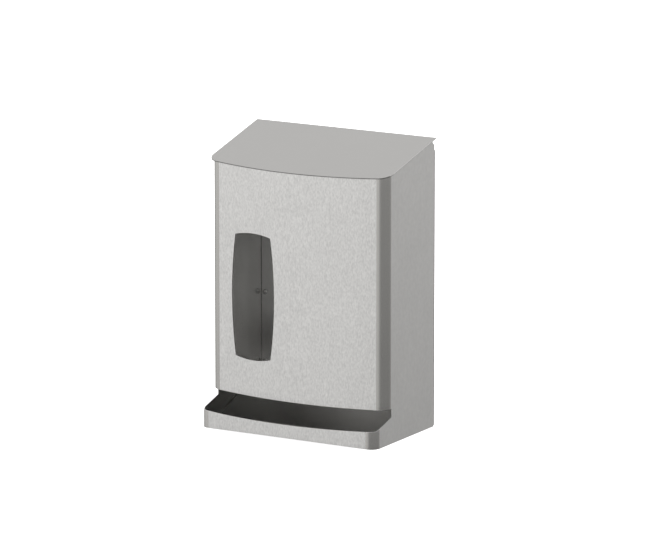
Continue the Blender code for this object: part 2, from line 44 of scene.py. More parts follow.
scene = bpy.context.scene
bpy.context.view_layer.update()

# ------------------------------------------------------------ sizes, as the frame
REAR_Y = 0.0910
WIDTH = 0.2800
SHEET = 0.0012
SLACK = 0.0003
PANEL_DEPTH, PANEL_BOW, PANEL_BEND = 0.1514, 0.6843, 0.0159
PANEL_BOTTOM, PANEL_DROP = 0.0498, 0.0020
LIP_DEPTH, LIP_BOW, LIP_BEND = 0.1820, 0.6835, 0.0156
LIP_TOP, LIP_DROP, LIP_ARCH, LIP_SEAM = 0.0256, 0.0025, 0.0042, 0.1500
NOTCH_DEPTH, NOTCH_Z, SLANT_END_DEPTH, SLANT_END_HALF = 0.1213, 0.0380, 0.1628, 0.1377
LID_SLOPE = math.radians(14.393)
LID_REAR_DEPTH, LID_REAR_Z = 0.0045, 0.4110
LID_OVERHANG, LID_SHEET, LID_GAP = 0.0042, 0.0015, 0.0005
CHAMFER_DEPTH, CHAMFER_TOP, CHAMFER_END = 0.0078, 0.4045, 0.3968
FLANGE, REAR_BEND = 0.0240, 0.0022
BACK_HALF, BACK_TOP = 0.1394, 0.3940
WINDOW_X, WINDOW_Z = -0.0668, 0.1896
WINDOW_CORNER, WINDOW_MIDDLE = (0.0296, 0.0860), (0.0359, 0.08995)
HINGE_HALF, HINGE_DEPTH, HINGE_SHEET = 0.1140, 0.0062, 0.0009
HINGE_MID_R, PIN_R, KNUCKLES, KNUCKLE_GAP = 0.0021, 0.0015, 9, 0.0005
LEAF_BOTTOM, LID_LEAF = 0.3720, 0.0240
FLOOR_TOP, FLOOR_FOLD_DEPTH = 0.0080, 0.1230
RAMP_TOP, RAMP_DEPTH, RAMP_FLANGE, RAMP_TAB_HALF = 0.0540, 0.0046, 0.0100, 0.1140
FLOOR_SHEET = 0.0010
RIVET_X, RIVET_Z = 0.1325, (0.063, 0.163, 0.263, 0.363)
HINGE_RIVET_X, HINGE_RIVET_Z = (-0.104, -0.052, 0.0, 0.052, 0.104), 0.3815
RIVET_SHANK_R, RIVET_HOLE_R, RIVET_HEAD_R, RIVET_HEAD_H = 0.0017, 0.0021, 0.0040, 0.0016
SCREW_X, SCREW_TOP_Z, SCREW_LOW_Z = 0.0900, 0.3300, 0.0950
SCREW_HOLE_R, KEYHOLE_R = 0.0028, 0.0050

FLANGE_PLANE = SHEET + 2 * SLACK
GRAIN_MARGIN = 0.0016        # the brushing ends this far before the front bends


def y_of(depth):
    return REAR_Y - depth


def lid_top_z(depth):
    return LID_REAR_Z - math.tan(LID_SLOPE) * (depth - LID_REAR_DEPTH)


def lid_under_z(depth):
    return lid_top_z(depth) - LID_SHEET / math.cos(LID_SLOPE)


HINGE_Y = y_of(HINGE_DEPTH)
HINGE_Z = lid_under_z(HINGE_DEPTH) - (HINGE_MID_R + HINGE_SHEET / 2 + SLACK) / math.cos(
    LID_SLOPE
)


# ------------------------------------------------------------ camera, floor, light
def build_camera():
    """The photograph's view: a long lens, 30 degrees to the right of the
    front and 12 degrees above it."""
    azimuth, elevation, distance = math.radians(30.1747), math.radians(12.0957), 7.85547
    focal = 5653.16                   # in pixels of a 659 pixel wide frame
    right = Vector((math.cos(azimuth), math.sin(azimuth), 0))
    back = Vector(
        (
            math.sin(azimuth) * math.cos(elevation),
            -math.cos(azimuth) * math.cos(elevation),
            math.sin(elevation),
        )
    )
    up = back.cross(right)
    aim = -back + right * (10.512 / focal) + up * (13.945 / focal)
    data = bpy.data.cameras.new("camera")
    data.sensor_fit = "HORIZONTAL"
    data.sensor_width = 36.0
    data.lens = focal * 36.0 / 659
    data.clip_start, data.clip_end = 0.5, 60.0
    camera = bpy.data.objects.new("camera", data)
    camera.location = Vector((0, 0.011, 0.200)) + back * distance
    camera.rotation_euler = aim.to_track_quat("-Z", "Y").to_euler()
    scene.collection.objects.link(camera)
    scene.camera = camera


def build_floor():
    """A plain pale floor and a plain pale surround. The surround is only
    there for the eye: it casts no light."""
    bm = bmesh.new()
    bmesh.ops.create_circle(bm, cap_ends=True, segments=96, radius=11.5)
    mesh = bpy.data.meshes.new("floor")
    bm.to_mesh(mesh)
    bm.free()
    floor = bpy.data.objects.new("floor", mesh)
    scene.collection.objects.link(floor)
    mat = bpy.data.materials.new("floor")
    mat.use_nodes = True
    shader = mat.node_tree.nodes["Principled BSDF"]
    shader.inputs["Base Color"].default_value = (0.94, 0.94, 0.938, 1)
    shader.inputs["Roughness"].default_value = 0.95
    shader.inputs["Specular IOR Level"].default_value = 0.1
    shader.inputs["Emission Color"].default_value = (1.0, 1.0, 1.0, 1)
    shader.inputs["Emission Strength"].default_value = 0.86      # keeps its shadows pale
    floor.data.materials.append(mat)
    floor.visible_glossy = False

    bm = bmesh.new()
    bmesh.ops.create_icosphere(bm, subdivisions=4, radius=12.0)
    bmesh.ops.reverse_faces(bm, faces=bm.faces[:])
    mesh = bpy.data.meshes.new("surround")
    bm.to_mesh(mesh)
    bm.free()
    surround = bpy.data.objects.new("surround", mesh)
    scene.collection.objects.link(surround)
    mat = bpy.data.materials.new("surround")
    mat.use_nodes = True
    nodes, links = mat.node_tree.nodes, mat.node_tree.links
    nodes.clear()
    glow = nodes.new("ShaderNodeEmission")
    glow.inputs["Color"].default_value = (0.97, 0.97, 0.97, 1)
    out = nodes.new("ShaderNodeOutputMaterial")
    links.new(glow.outputs[0], out.inputs["Surface"])
    surround.data.materials.append(mat)
    for way in ("diffuse", "glossy", "transmission", "volume_scatter", "shadow"):
        setattr(surround, "visible_" + way, False)


def direction(azimuth, elevation):
    """A unit vector: azimuth 0 is towards the front, 90 to the right."""
    a, e = math.radians(azimuth), math.radians(elevation)
    return (math.sin(a) * math.cos(e), -math.cos(a) * math.cos(e), math.sin(e))


# the light by height: from and to elevation, light before and after
HEIGHTS = (
    (-60, -28, 0.40, 0.00),
    (-21, -2, 0.10, 1.04),
    (53, 88, 0.00, 0.50),
)
# each: azimuth, elevation, inner and outer angle, light added there
GLOWS = (
    (-44, -12, 38, 66, 0.29),
    (178, -12, 22, 58, 0.20),
)
# each: azimuth, elevation, inner and outer angle, share of light lost there
SHADES = (
    (82, -12, 48, 85, 0.30),
)


def build_world():
    """A soft studio: bright overhead, paler at the front left, and a dark
    side beyond the front right."""
    world = bpy.data.worlds.new("studio")
    scene.world = world
    world.use_nodes = True
    nodes, links = world.node_tree.nodes, world.node_tree.links
    nodes.clear()
    place = nodes.new("ShaderNodeTexCoord")

    def lobe(azimuth, elevation, inner, outer):
        dot = nodes.new("ShaderNodeVectorMath")
        dot.operation = "DOT_PRODUCT"
        links.new(place.outputs["Generated"], dot.inputs[0])
        dot.inputs[1].default_value = direction(azimuth, elevation)
        ramp = nodes.new("ShaderNodeMapRange")
        ramp.interpolation_type = "SMOOTHSTEP"
        ramp.inputs["From Min"].default_value = math.cos(math.radians(outer))
        ramp.inputs["From Max"].default_value = math.cos(math.radians(inner))
        links.new(dot.outputs["Value"], ramp.inputs["Value"])
        return ramp.outputs["Result"]

    def math_node(operation, a, b):
        node = nodes.new("ShaderNodeMath")
        node.operation = operation
        for socket, value in zip(node.inputs, (a, b)):
            if isinstance(value, (int, float)):
                socket.default_value = value
            else:
                links.new(value, socket)
        return node.outputs[0]

    split = nodes.new("ShaderNodeSeparateXYZ")
    links.new(place.outputs["Generated"], split.inputs[0])
    level = 0.0
    for low, high, before, after in HEIGHTS:
        height = nodes.new("ShaderNodeMapRange")
        height.interpolation_type = "SMOOTHSTEP"
        height.inputs["From Min"].default_value = math.sin(math.radians(low))
        height.inputs["From Max"].default_value = math.sin(math.radians(high))
        height.inputs["To Min"].default_value = before
        height.inputs["To Max"].default_value = after
        links.new(split.outputs["Z"], height.inputs["Value"])
        level = math_node("ADD", level, height.outputs["Result"])
    for azimuth, elevation, inner, outer, more in GLOWS:
        part = math_node("MULTIPLY", lobe(azimuth, elevation, inner, outer), more)
        level = math_node("ADD", level, part)
    for azimuth, elevation, inner, outer, less in SHADES:
        part = math_node("MULTIPLY", lobe(azimuth, elevation, inner, outer), less)
        level = math_node("MULTIPLY", level, math_node("SUBTRACT", 1.0, part))
    sky = nodes.new("ShaderNodeBackground")
    sky.inputs["Color"].default_value = (1.0, 0.999, 0.996, 1)
    links.new(level, sky.inputs["Strength"])
    out = nodes.new("ShaderNodeOutputWorld")
    links.new(sky.outputs[0], out.inputs["Surface"])


# ------------------------------------------------------------ finishes
def steel(
    name,
    base,
    roughness,
    grain=(),
    bump=0.0,
    bump_cell=(0.0002, 0.0002, 0.006),
    cloud=0.02,
    cloud_size=0.05,
    rough_swing=0.04,
    metallic=1.0,
):
    """Stainless steel. Each grain is (cell size along X, Y and Z, share of
    the colour that it changes). The surface also has a faint cloudiness and
    a fine relief."""
    mat = bpy.data.materials.new(name)
    mat.use_nodes = True
    nodes, links = mat.node_tree.nodes, mat.node_tree.links
    shader = nodes["Principled BSDF"]
    shader.inputs["Metallic"].default_value = metallic
    place = nodes.new("ShaderNodeTexCoord")

    def noise(cell, detail, seed, rough=0.5):
        spot = nodes.new("ShaderNodeMapping")
        spot.inputs["Location"].default_value = (seed, seed * 0.7, seed * 0.3)
        spot.inputs["Scale"].default_value = [1 / c for c in cell]
        links.new(place.outputs["Object"], spot.inputs["Vector"])
        tex = nodes.new("ShaderNodeTexNoise")
        tex.inputs["Scale"].default_value = 1.0
        tex.inputs["Detail"].default_value = detail
        tex.inputs["Roughness"].default_value = rough
        links.new(spot.outputs[0], tex.inputs["Vector"])
        return tex.outputs["Fac"]

    def sum_of(a, b):
        node = nodes.new("ShaderNodeMath")
        node.operation = "ADD"
        links.new(a, node.inputs[0])
        links.new(b, node.inputs[1])
        return node.outputs[0]

    def scaled(value, swing):
        """Noise about 0.5 becomes a share about 0."""
        node = nodes.new("ShaderNodeMath")
        node.operation = "MULTIPLY_ADD"
        links.new(value, node.inputs[0])
        node.inputs[1].default_value = swing
        node.inputs[2].default_value = -swing / 2
        return node.outputs[0]

    total = scaled(noise((cloud_size,) * 3, 2, 3.1), cloud * 4)
    for i, (cell, share) in enumerate(grain):
        total = sum_of(total, scaled(noise(cell, 1, 11.7 + 7 * i), share * 4))
    tint = nodes.new("ShaderNodeMath")
    tint.operation = "ADD"
    tint.use_clamp = False
    links.new(total, tint.inputs[0])
    tint.inputs[1].default_value = 1.0
    colour = nodes.new("ShaderNodeVectorMath")
    colour.operation = "SCALE"
    colour.inputs[0].default_value = base
    links.new(tint.outputs[0], colour.inputs["Scale"])
    links.new(colour.outputs["Vector"], shader.inputs["Base Color"])

    wear = nodes.new("ShaderNodeMath")
    wear.operation = "MULTIPLY_ADD"
    links.new(noise(bump_cell, 2, 29.3), wear.inputs[0])
    wear.inputs[1].default_value = rough_swing * 2
    wear.inputs[2].default_value = roughness - rough_swing
    links.new(wear.outputs[0], shader.inputs["Roughness"])

    if bump:
        relief = nodes.new("ShaderNodeBump")
        relief.inputs["Strength"].default_value = bump
        relief.inputs["Distance"].default_value = 0.00002
        links.new(noise(bump_cell, 2, 41.9), relief.inputs["Height"])
        links.new(relief.outputs["Normal"], shader.inputs["Normal"])
    return mat


FRONT_GRAIN = (
    ((0.0021, 0.0021, 0.0042), 0.113),
    ((0.0006, 0.0006, 0.0120), 0.036),
)
SIDE_GRAIN = (
    ((0.0058, 0.0058, 0.0064), 0.036),
    ((0.0008, 0.0008, 0.0180), 0.010),
)
FINISH = {
    "brushed": steel("brushed_front", (0.688, 0.682, 0.669), 0.34, FRONT_GRAIN, 0.35),
    "lip": steel("brushed_lip", (0.670, 0.664, 0.652), 0.34, FRONT_GRAIN, 0.35),
    "side": steel("satin_side", (0.610, 0.604, 0.592), 0.34, SIDE_GRAIN, 0.25),
    # the two bend finishes have their colour darkened: painted shade for the dark surroundings
    # that the bends reflect
    "bend": steel("satin_bend_painted_shade", (0.495, 0.487, 0.468), 0.24, SIDE_GRAIN[1:], 0.15),
    "lip_bend": steel("satin_lip_bend_painted_shade", (0.554, 0.543, 0.524), 0.24, SIDE_GRAIN[1:], 0.15),
    # painted shade: the inside of the rear folds is darkened as if shadowed
    "fold": steel("inner_fold_painted_shade", (0.400, 0.397, 0.389), 0.34, SIDE_GRAIN[1:], 0.15),
    "flange": steel("satin_flange", (0.790, 0.783, 0.769), 0.42, SIDE_GRAIN[1:], 0.15),
    # painted shadow: the lid's front cut edge is a real edge, darkened to stand for the shadow
    # gap beneath its overhang
    "painted_shadow_edge": steel("cut_edge_painted_shadow", (0.280, 0.277, 0.270), 0.40, SIDE_GRAIN[1:], 0.2),
    "lid": steel(
        "satin_lid",
        (0.408, 0.402, 0.393),
        0.36,
        (((0.0120, 0.0008, 0.0008), 0.006),),
        0.12,
        bump_cell=(0.006, 0.0002, 0.0002),
        cloud=0.006,
    ),
    "edge": steel("cut_edge", (0.600, 0.595, 0.585), 0.38, SIDE_GRAIN[1:], 0.2),
    "inside": steel("mill_inside", (0.650, 0.645, 0.633), 0.24, SIDE_GRAIN[1:], 0.15),
    "matt": steel("matt_inside", (0.960, 0.953, 0.936), 0.50, SIDE_GRAIN[1:], 0.15),
    "ear": steel("matt_ear", (0.560, 0.556, 0.546), 0.50, SIDE_GRAIN[1:], 0.15),
    "back": steel("mill_back", (0.560, 0.553, 0.540), 0.38, SIDE_GRAIN, 0.2),
    "floor": steel(
        "mill_floor",
        (0.580, 0.575, 0.565),
        0.24,
        (((0.0100, 0.0022, 0.0026), 0.012), ((0.0180, 0.0006, 0.0008), 0.012)),
        0.15,
        bump_cell=(0.006, 0.0002, 0.0002),
    ),
    "hinge": steel(
        "hinge_steel",
        (0.640, 0.635, 0.625),
        0.30,
        (((0.0120, 0.0006, 0.0006), 0.015),),
        0.2,
        bump_cell=(0.006, 0.0002, 0.0002),
    ),
    "rivet": steel(
        "rivet_steel",
        (0.660, 0.655, 0.645),
        0.28,
        (((0.0009, 0.0009, 0.0009), 0.02),),
        0.15,
        bump_cell=(0.0003, 0.0003, 0.0003),
        cloud_size=0.004,
    ),
}


# ------------------------------------------------------------ sheet metal
class Path:
    """A line in a plane, made of straight runs and arcs, that is walked by
    its length. Its face is on the right hand of the walk."""

    def __init__(self, start, heading=0.0):
        self.parts = []
        self.end = Vector(start)
        self.heading = heading
        self.length = 0.0

    def line(self, run):
        self.parts.append((self.length, self.end.copy(), self.heading, 0.0))
        self.end += Vector((math.cos(self.heading), math.sin(self.heading))) * run
        self.length += run
        return self

    def arc(self, radius, turn):
        """turn is in radians, above 0 to the left."""
        curve = math.copysign(1 / radius, turn)
        self.parts.append((self.length, self.end.copy(), self.heading, curve))
        run = radius * abs(turn)
        self.end = self._on(self.parts[-1], run)[0]
        self.heading += turn
        self.length += run
        return self

    @staticmethod
    def _on(part, run):
        _, start, heading, curve = part
        if not curve:
            return start + Vector((math.cos(heading), math.sin(heading))) * run, heading
        turn = run * curve
        side = Vector((-math.sin(heading), math.cos(heading))) / curve
        spun = Vector((-math.sin(heading + turn), math.cos(heading + turn))) / curve
        return start + side - spun, heading + turn

    def at(self, s):
        """(point, outward normal) at the length s."""
        part = self.parts[0]
        for candidate in self.parts:
            if candidate[0] <= s + 1e-9:
                part = candidate
        point, heading = self._on(part, s - part[0])
        return point, Vector((math.sin(heading), -math.cos(heading)))


def through(points, radii):
    """A Path along straight runs between points, with an arc of the given
    radius at each inner point."""
    points = [Vector(p) for p in points]
    first = points[1] - points[0]
    path = Path(points[0], math.atan2(first.y, first.x))
    spare = 0.0
    for i, radius in enumerate(radii, 1):
        before, after = points[i] - points[i - 1], points[i + 1] - points[i]
        turn = math.atan2(after.y, after.x) - math.atan2(before.y, before.x)
        turn = (turn + math.pi) % (2 * math.pi) - math.pi
        set_back = radius * math.tan(abs(turn) / 2)
        path.line(before.length - spare - set_back)
        path.arc(radius, turn)
        spare = set_back
    path.line((points[-1] - points[-2]).length - spare)
    return path


def sheet(
    name,
    loops,
    columns,
    rows,
    place,
    thickness,
    finishes,
    zone,
    edge=0.00022,
    seam=None,
    body="housing",
    node=None,
):
    """Cuts a blank from loops of (u, v) points, first its outline and then
    its holes, divides it at the columns and rows, and folds it. place(u, v)
    gives the point on the outer face and its normal. zone(u, v, face) gives
    the finish of each face: face is 0 outside, 1 inside and 2 on a cut edge.
    The cut edges are rounded by the radius edge, apart from those where
    seam(u, v) is true, which are ground flush with a neighbour."""
    columns = sorted({round(u, 7) for u in columns})
    rows = sorted({round(v, 7) for v in rows})

    def radius_at(p, q):
        half = (p + q) / 2
        return 0.0 if seam and seam(half.x, half.y) else edge

    # the blank's flat part: each loop set back by the rounding of its edges
    verts, faces, edges = [], [], []
    for number, loop in enumerate(loops):
        loop = [Vector(p) for p in loop]
        area = sum(a.x * b.y - b.x * a.y for a, b in zip(loop, loop[1:] + loop[:1]))
        if (area > 0) != (number == 0):
            loop.reverse()                      # material is on the left
        ring = list(range(len(verts), len(verts) + len(loop)))
        for before, here, after in zip(loop[-1:] + loop, loop, loop[1:] + loop[:1]):
            spot = here - outward(
                before, here, after, radius_at(before, here), radius_at(here, after)
            )
            along = (here - before).normalized() + (after - here).normalized()
            if along.length > 1.96:
                along.normalize()
                for axis, lines in enumerate((columns, rows)):
                    near = [
                        line
                        for line in lines
                        if abs(here[axis] - line) < 1e-6 or abs(spot[axis] - line) < 8e-5
                    ]
                    if near and abs(along[axis]) > 0.3:
                        spot += along * ((near[0] - spot[axis]) / along[axis])
                        break
            verts.append(spot)
        faces.append(ring if number == 0 else ring[::-1])
    us, vs = [p.x for p in verts], [p.y for p in verts]
    for u in columns:
        if min(us) < u < max(us):
            edges.append((len(verts), len(verts) + 1))
            verts += [Vector((u, min(vs) - 0.01)), Vector((u, max(vs) + 0.01))]
    for v in rows:
        if min(vs) < v < max(vs):
            edges.append((len(verts), len(verts) + 1))
            verts += [Vector((min(us) - 0.01, v)), Vector((max(us) + 0.01, v))]
    spots, _, found, _, _, owners = delaunay_2d_cdt(verts, edges, faces, 4, 1e-6)
    cells = []
    for cell, owner in zip(found, owners):
        if list(owner) == [0]:
            ring = [spots[i] for i in cell]
            area = sum(a.x * b.y - b.x * a.y for a, b in zip(ring, ring[1:] + ring[:1]))
            cells.append(list(cell) if area > 0 else list(cell)[::-1])

    bm = bmesh.new()

    def vertex(u, v, depth):
        point, normal = place(u, v)
        return bm.verts.new(point - normal * depth)

    inside_edges = {pair for c in cells for pair in zip(c, c[1:] + c[:1])}
    following = {p: q for p, q in inside_edges if (q, p) not in inside_edges}
    leading = {q: p for p, q in following.items()}
    bends = [(0.0, 0.0)]
    if edge:
        bends += [(math.sin(a), 1 - math.cos(a)) for a in (math.pi / 4, math.pi / 2)]
    rings = {}
    for i in sorted({i for c in cells for i in c}):
        spot = spots[i]
        if i not in following:
            rings[i] = [vertex(*spot, 0.0), vertex(*spot, thickness)]
            continue
        before, after = spots[leading[i]], spots[following[i]]
        out = outward(before, spot, after, radius_at(before, spot), radius_at(spot, after))
        levels = [(share, edge * deep) for share, deep in bends]
        levels += [(share, thickness - edge * deep) for share, deep in reversed(bends)]
        rings[i] = [vertex(*(spot + out * share), deep) for share, deep in levels]

    # the first cell tells which way round the folded cells face outwards
    corners = [rings[i][0].co for i in cells[0]]
    middle = sum((spots[i] for i in cells[0]), Vector((0, 0))) / len(corners)
    turned_way = Vector((0, 0, 0))
    for p, q in zip(corners, corners[1:] + corners[:1]):
        turned_way += (p - corners[0]).cross(q - corners[0])
    step = 1 if turned_way.dot(place(*middle)[1]) > 0 else -1
    for c in cells:
        middle = sum((spots[i] for i in c), Vector((0, 0))) / len(c)
        top = bm.faces.new([rings[i][0] for i in c[::step]])
        top.material_index = zone(*middle, 0)
        under = bm.faces.new([rings[i][-1] for i in c[::-step]])
        under.material_index = zone(*middle, 1)
    for p, q in following.items():
        finish = zone(*((spots[p] + spots[q]) / 2), 2)
        for k in range(len(rings[p]) - 1):
            around = [rings[q][k], rings[p][k], rings[p][k + 1], rings[q][k + 1]]
            bm.faces.new(around[::step]).material_index = finish
    for i, q in following.items():
        a = (spots[i] - spots[leading[i]]).normalized()
        b = (spots[q] - spots[i]).normalized()
        if a.dot(b) < 0.8:                      # a corner of the cut edge
            for one, two in zip(rings[i], rings[i][1:]):
                bm.edges.get((one, two)).smooth = False
    # where a notch's inner corner lies on a column, two rings share points
    bmesh.ops.remove_doubles(bm, verts=bm.verts[:], dist=1e-6)
    return finished(name, bm, finishes, body, node)


def outward(before, here, after, first, second):
    """How far a loop's corner moves when its two edges move outwards, the
    first by first and the second by second."""
    a, b = (here - before).normalized(), (after - here).normalized()
    turn = a.x * b.y - a.y * b.x
    if abs(turn) < 0.05:
        return Vector((a.y + b.y, -a.x - b.x)).normalized() * (first + second) / 2
    return (a * second - b * first) / turn


def finished(name, bm, finishes, body, node):
    """Makes a piece of the mesh, gives it its finishes and sets it on its
    body in the place of the frame's plain solids."""
    for f in bm.faces:
        f.smooth = True
    mesh = bpy.data.meshes.new(name)
    bm.to_mesh(mesh)
    bm.free()
    obj = bpy.data.objects.new(name, mesh)
    scene.collection.objects.link(obj)
    for finish in finishes:
        mesh.materials.append(FINISH[finish])
    even = obj.modifiers.new("even_shading", "WEIGHTED_NORMAL")
    even.mode = "FACE_AREA"
    even.weight = 50
    even.keep_sharp = True
    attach(obj, body)
    if node:
        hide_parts(*([node] if isinstance(node, str) else node))
    return obj


def spaced(start, end, step):
    """Points from start to end, no further apart than step, ends included."""
    count = max(1, math.ceil(abs(end - start) / step - 1e-9))
    return [start + (end - start) * i / count for i in range(count + 1)]


def both_sides(values):
    return sorted({round(side * v, 9) for v in values for side in (-1, 1)})


def bowed(depth, bow, bend, half_width=WIDTH / 2):
    """The right half of a bowed front in plan, from its middle. Returns the
    Path, the length where the bend starts and the length where it ends."""
    centre_x = half_width - bend
    centre_d = (depth - bow) + math.sqrt((bow - bend) ** 2 - centre_x**2)
    turn = math.atan2(centre_x, centre_d - (depth - bow))
    path = Path((0, y_of(depth))).arc(bow, turn)
    bend_start = path.length
    path.arc(bend, math.pi / 2 - turn)
    return path, bend_start, path.length


def mirrored_place(path):
    """place() for a sheet that stands upright on a plan path."""

    def place(u, v):
        point, normal = path.at(abs(u))
        side = -1 if u < 0 else 1
        return (
            Vector((side * point.x, point.y, v)),
            Vector((side * normal.x, normal.y, 0)),
        )

    return place


def mirrored_loop(half):
    """A closed outline from its right half, which runs from the bottom
    middle round to the top middle."""
    left = [(-u, v) for u, v in reversed(half) if u > 1e-9]
    return half + left


def through_three(p, q, middle, steps):
    """Points from p to just before q on the circle through all three."""
    (ax, ay), (bx, by), (cx, cy) = p, middle, q
    det = 2 * (ax * (by - cy) + bx * (cy - ay) + cx * (ay - by))
    a2, b2, c2 = ax * ax + ay * ay, bx * bx + by * by, cx * cx + cy * cy
    ux = (a2 * (by - cy) + b2 * (cy - ay) + c2 * (ay - by)) / det
    uy = (a2 * (cx - bx) + b2 * (ax - cx) + c2 * (bx - ax)) / det
    radius = math.hypot(ax - ux, ay - uy)
    start = math.atan2(ay - uy, ax - ux)
    sweep = math.atan2(cy - uy, cx - ux) - start
    sweep = (sweep + math.pi) % (2 * math.pi) - math.pi
    return [
        (
            ux + radius * math.cos(start + sweep * i / steps),
            uy + radius * math.sin(start + sweep * i / steps),
        )
        for i in range(steps)
    ]


# ------------------------------------------------------------ housing
def build_housing():
    path, bend_start, bend_end = bowed(PANEL_DEPTH, PANEL_BOW, PANEL_BEND)
    side_y = path.end.y                      # where the flat side starts
    path.line(y_of(FLANGE_PLANE + REAR_BEND) - side_y)
    side_end = path.length
    path.arc(REAR_BEND, math.pi / 2)
    rear_end = path.length
    path.line(FLANGE - REAR_BEND)
    end = path.length

    def s_of(depth):
        """Length along the path of a place on the flat side, or on its
        straight run on past the bend."""
        return bend_end + (y_of(depth) - side_y)

    upright = mirrored_place(path)

    def place(u, v):
        if v < 0.0440 and abs(u) < bend_end:
            side = -1 if u < 0 else 1
            return (
                Vector((side * WIDTH / 2, side_y + abs(u) - bend_end, v)),
                Vector((side, 0, 0)),
            )
        return upright(u, v)

    def depth_at(s):
        return REAR_Y - path.at(s)[0].y

    def relief(depth):
        run = (CHAMFER_TOP - CHAMFER_END) / CHAMFER_DEPTH
        return CHAMFER_TOP - run * (CHAMFER_DEPTH - depth)

    def top(s):
        return lid_under_z(depth_at(s)) - LID_GAP

    def bottom(s):
        x = path.at(s)[0].x
        return PANEL_BOTTOM - PANEL_DROP * max(0.0, 1 - (x / (WIDTH / 2)) ** 2)

    def slant(depth):
        run = (NOTCH_Z - LIP_TOP) / (SLANT_END_DEPTH - NOTCH_DEPTH)
        return NOTCH_Z - run * (depth - NOTCH_DEPTH)

    grain_end = bend_start - GRAIN_MARGIN
    bow_steps = spaced(0, bend_start, 0.0045)
    bend_steps = spaced(bend_start, bend_end, 0.0009)
    rear_steps = spaced(side_end, rear_end, 0.0004)
    notch, foot, step = s_of(NOTCH_DEPTH), s_of(LIP_SEAM), s_of(CHAMFER_DEPTH)
    half = [(s, bottom(s)) for s in bow_steps + bend_steps[1:]]
    half += [(notch, PANEL_BOTTOM), (notch, NOTCH_Z)]
    half += [(foot, slant(LIP_SEAM)), (foot, 0.0)]
    half += [(s, 0.0) for s in rear_steps] + [(end, 0.0)]
    half += [(end, relief(FLANGE_PLANE))]
    half += [(s, relief(depth_at(s))) for s in reversed(rear_steps)]
    half += [(step, CHAMFER_TOP), (step, top(step))]
    half += [(s, top(s)) for s in reversed(bend_steps)]
    half += [(s, top(s)) for s in reversed(bow_steps[:-1])]
    corner, middle = WINDOW_CORNER, WINDOW_MIDDLE
    window = (
        through_three((-corner[0], -corner[1]), (corner[0], -corner[1]), (0, -middle[1]), 24)
        + through_three((corner[0], -corner[1]), (corner[0], corner[1]), (middle[0], 0), 60)
        + through_three((corner[0], corner[1]), (-corner[0], corner[1]), (0, middle[1]), 24)
        + through_three((-corner[0], corner[1]), (-corner[0], -corner[1]), (-middle[0], 0), 60)
    )
    window = [
        (PANEL_BOW * math.asin((WINDOW_X + x) / PANEL_BOW), WINDOW_Z + z)
        for x, z in window
    ]
    holes = []
    for side in (-1, 1):
        for z in RIVET_Z:
            middle_u = side * (rear_end + (WIDTH / 2 - REAR_BEND - RIVET_X))
            holes.append(
                [
                    (
                        middle_u + RIVET_HOLE_R * math.cos(2 * math.pi * k / 32),
                        z + RIVET_HOLE_R * math.sin(2 * math.pi * k / 32),
                    )
                    for k in range(32)
                ]
            )

    def zone(u, v, face):
        s = abs(u)
        if face == 2:
            return 3
        if face == 1:
            # inside the rear bends the fold finish is used, darkened with painted shade
            return 4 if s < side_end else 5 if s < rear_end else 6
        if v > 0.044 and s < grain_end:
            return 0
        # the front bends take the bend finish, darkened with painted shade
        if v > 0.044 and s < bend_end:
            return 1
        return 2

    columns = bow_steps + [grain_end] + bend_steps + rear_steps
    sheet(
        "housing_body",
        [mirrored_loop(half), window] + holes,
        both_sides(columns + spaced(bend_end, side_end, 0.03)),
        [0.0440] + spaced(0.06, 0.36, 0.03),
        place,
        SHEET,
        ("brushed", "bend", "side", "edge", "inside", "fold", "flange"),
        zone,
        seam=lambda u, v: v < 0.035 and abs(abs(u) - foot) < 1e-5,
        node="housing_shell",
    )


def build_lip():
    path, bend_start, bend_end = bowed(LIP_DEPTH, LIP_BOW, LIP_BEND)
    side_y = path.end.y
    path.line(y_of(LIP_SEAM) - side_y)
    end = path.length

    def share(s, reach=WIDTH / 2):
        return max(0.0, 1 - (path.at(s)[0].x / reach) ** 2)

    run = (NOTCH_Z - LIP_TOP) / (SLANT_END_DEPTH - NOTCH_DEPTH)

    def top(s):
        """The slanting edge comes forward into the bend, then the edge dips."""
        depth = REAR_Y - path.at(s)[0].y
        slant = NOTCH_Z - run * (depth - NOTCH_DEPTH)
        return max(slant, LIP_TOP - LIP_DROP * share(s, SLANT_END_HALF))

    # the length at which the slanting edge ends
    slant_end = bend_end - LIP_BEND * math.asin((side_y - y_of(SLANT_END_DEPTH)) / LIP_BEND)
    bow_steps = spaced(0, bend_start, 0.0045)
    bend_steps = spaced(bend_start, slant_end, 0.0009) + spaced(slant_end, bend_end, 0.0009)[1:]
    steps = bow_steps + bend_steps[1:]
    half = [(s, LIP_ARCH * share(s)) for s in steps] + [(end, 0.0), (end, top(end))]
    half += [(s, top(s)) for s in reversed(steps)]

    grain_end = bend_start - GRAIN_MARGIN

    def zone(u, v, face):
        s = abs(u)
        if face == 2:
            return 3
        if face == 1:
            return 4
        # the lip's bends take the lip bend finish, darkened with painted shade
        return 0 if s < grain_end else 1 if s < bend_end else 2

    sheet(
        "tray_lip_sheet",
        [mirrored_loop(half)],
        both_sides(steps + [grain_end]),
        [0.008, 0.015],
        mirrored_place(path),
        SHEET,
        ("lip", "lip_bend", "side", "edge", "inside"),
        zone,
        seam=lambda u, v: abs(abs(u) - end) < 1e-5,
        node="tray_lip",
    )


